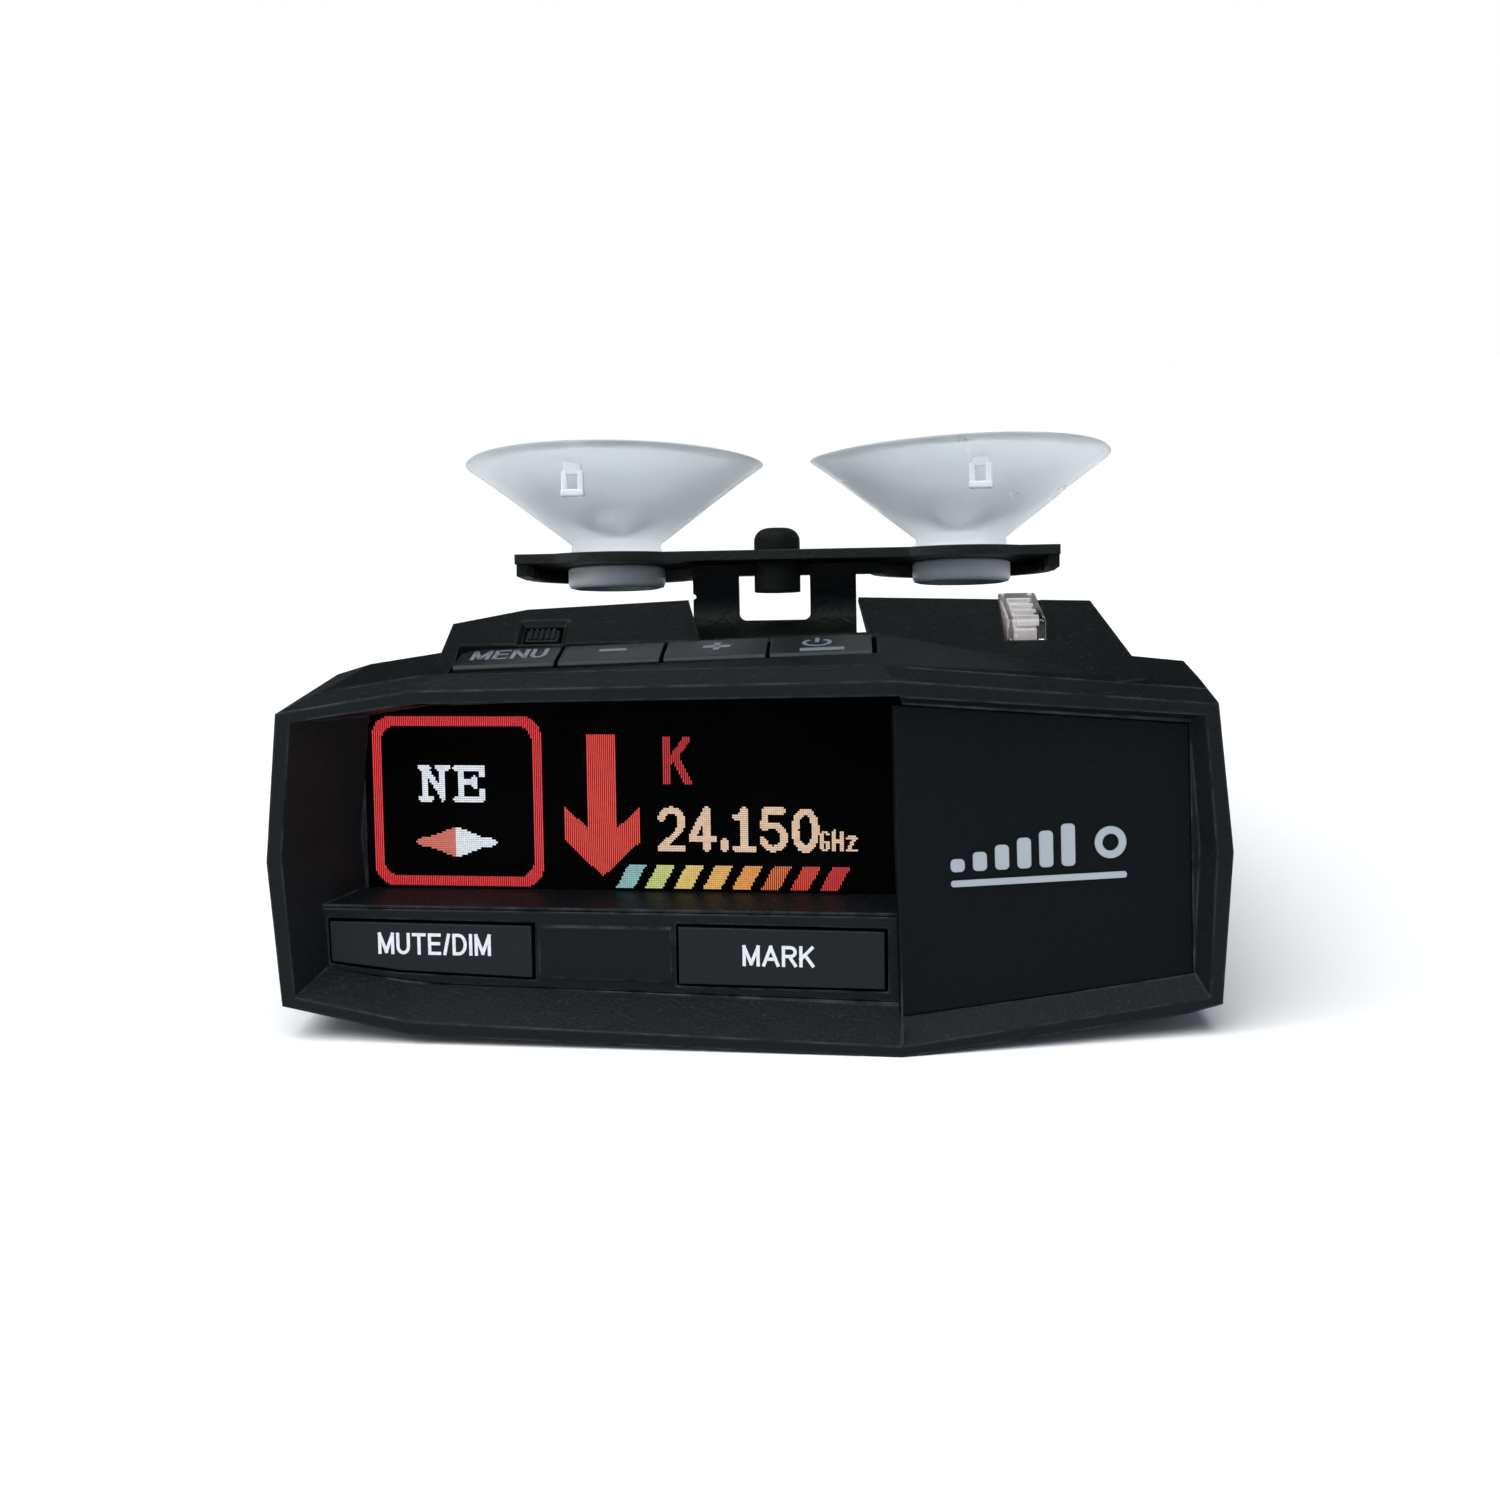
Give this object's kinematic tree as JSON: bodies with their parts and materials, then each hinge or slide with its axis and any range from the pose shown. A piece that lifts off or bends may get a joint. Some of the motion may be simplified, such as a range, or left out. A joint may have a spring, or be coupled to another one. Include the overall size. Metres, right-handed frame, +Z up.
{
  "type": "radar detector",
  "caption": "Windscreen radar detector with angled display, front and top keys and a sliding bracket on two suction cups.",
  "frame": {"origin": "centre of the footprint on the flat underside, below the middle of the bounding box", "axes": "+Z up, the display end faces -Y, the road end faces +Y, +X to the right seen from the display end"},
  "size_m": [0.091, 0.118, 0.0555],
  "materials": {
    "case_plastic": "fine grained moulded plastic, slate black",
    "window_glass": "dark polished window",
    "display_glass": "black display glass with lit graphics",
    "board_green": "solder mask",
    "panel_plastic": "fine grained moulded plastic",
    "mark_print": "pale raised mark",
    "key_plastic": "smooth moulded plastic with pale legends",
    "switch_steel": "stamped domes",
    "socket_plastic": "moulded black",
    "lens_clear": "clear moulded lens",
    "sensor_black": "filter resin",
    "shield_steel": "tinned sheet",
    "horn_cast": "die cast",
    "road_window": "dark infrared window",
    "speaker_black": "paper and frame",
    "antenna_ceramic": "fired ceramic look",
    "port_steel": "plated shell",
    "screw_steel": "black zinc",
    "label_grey": "blank film label",
    "bracket_coat": "crinkle black coat on bent sheet",
    "bumper_rubber": "moulded rubber",
    "cup_clear": "frosted clear elastomer"
  },
  "bodies": {
    "case": {"front_bezel": "case_plastic", "upper_housing": "case_plastic", "lower_housing": "case_plastic", "display_window": "window_glass", "oled_panel": "display_glass", "display_board": "board_green", "side_panel": "panel_plastic", "panel_mark": "mark_print", "key_bar": "panel_plastic", "front_switch_board": "board_green", "front_switches": "switch_steel", "top_switch_board": "board_green", "top_switches": "switch_steel", "bracket_rails": "socket_plastic", "rear_lens": "lens_clear", "rear_sensor": "sensor_black", "main_board": "board_green", "rf_shield": "shield_steel", "forward_horn": "horn_cast", "rearward_horn": "horn_cast", "forward_window": "road_window", "laser_receiver": "sensor_black", "speaker": "speaker_black", "gps_antenna": "antenna_ceramic", "power_socket": "socket_plastic", "audio_jack": "socket_plastic", "data_port": "port_steel", "housing_screws": "screw_steel", "label_plate": "label_grey"},
    "mute_key": {"mute_button": "key_plastic"},
    "mark_key": {"mark_button": "key_plastic"},
    "menu_key": {"menu_button": "key_plastic"},
    "minus_key": {"minus_button": "key_plastic"},
    "plus_key": {"plus_button": "key_plastic"},
    "power_key": {"power_button": "key_plastic"},
    "release": {"release_slider": "key_plastic"},
    "mount": {"mount_bracket": "bracket_coat", "bracket_bumper": "bumper_rubber", "left_suction_cup": "cup_clear", "right_suction_cup": "cup_clear"}
  },
  "joints": [
    {"name": "mute_press", "type": "slide", "parent": "case", "child": "mute_key", "axis": [0.0975, 0.9915, -0.0857], "range_m": [0, 0.0005], "stiffness_N_per_m": 250},
    {"name": "mark_press", "type": "slide", "parent": "case", "child": "mark_key", "axis": [0.0975, 0.9915, -0.0857], "range_m": [0, 0.0005], "stiffness_N_per_m": 250},
    {"name": "menu_press", "type": "slide", "parent": "case", "child": "menu_key", "axis": [0.0221, 0.0872, -0.9959], "range_m": [0, 0.0005], "stiffness_N_per_m": 250},
    {"name": "minus_press", "type": "slide", "parent": "case", "child": "minus_key", "axis": [0.0221, 0.0872, -0.9959], "range_m": [0, 0.0005], "stiffness_N_per_m": 250},
    {"name": "plus_press", "type": "slide", "parent": "case", "child": "plus_key", "axis": [0.0221, 0.0872, -0.9959], "range_m": [0, 0.0005], "stiffness_N_per_m": 250},
    {"name": "power_press", "type": "slide", "parent": "case", "child": "power_key", "axis": [0.0221, 0.0872, -0.9959], "range_m": [0, 0.0005], "stiffness_N_per_m": 250},
    {"name": "release_slide", "type": "slide", "parent": "case", "child": "release", "axis": [0, 0.9272, 0.3746], "range_m": [0, 0.001], "stiffness_N_per_m": 250},
    {"name": "bracket_slide", "type": "slide", "parent": "case", "child": "mount", "axis": [0, 1, 0], "range_m": [0, 0.024]}
  ]
}
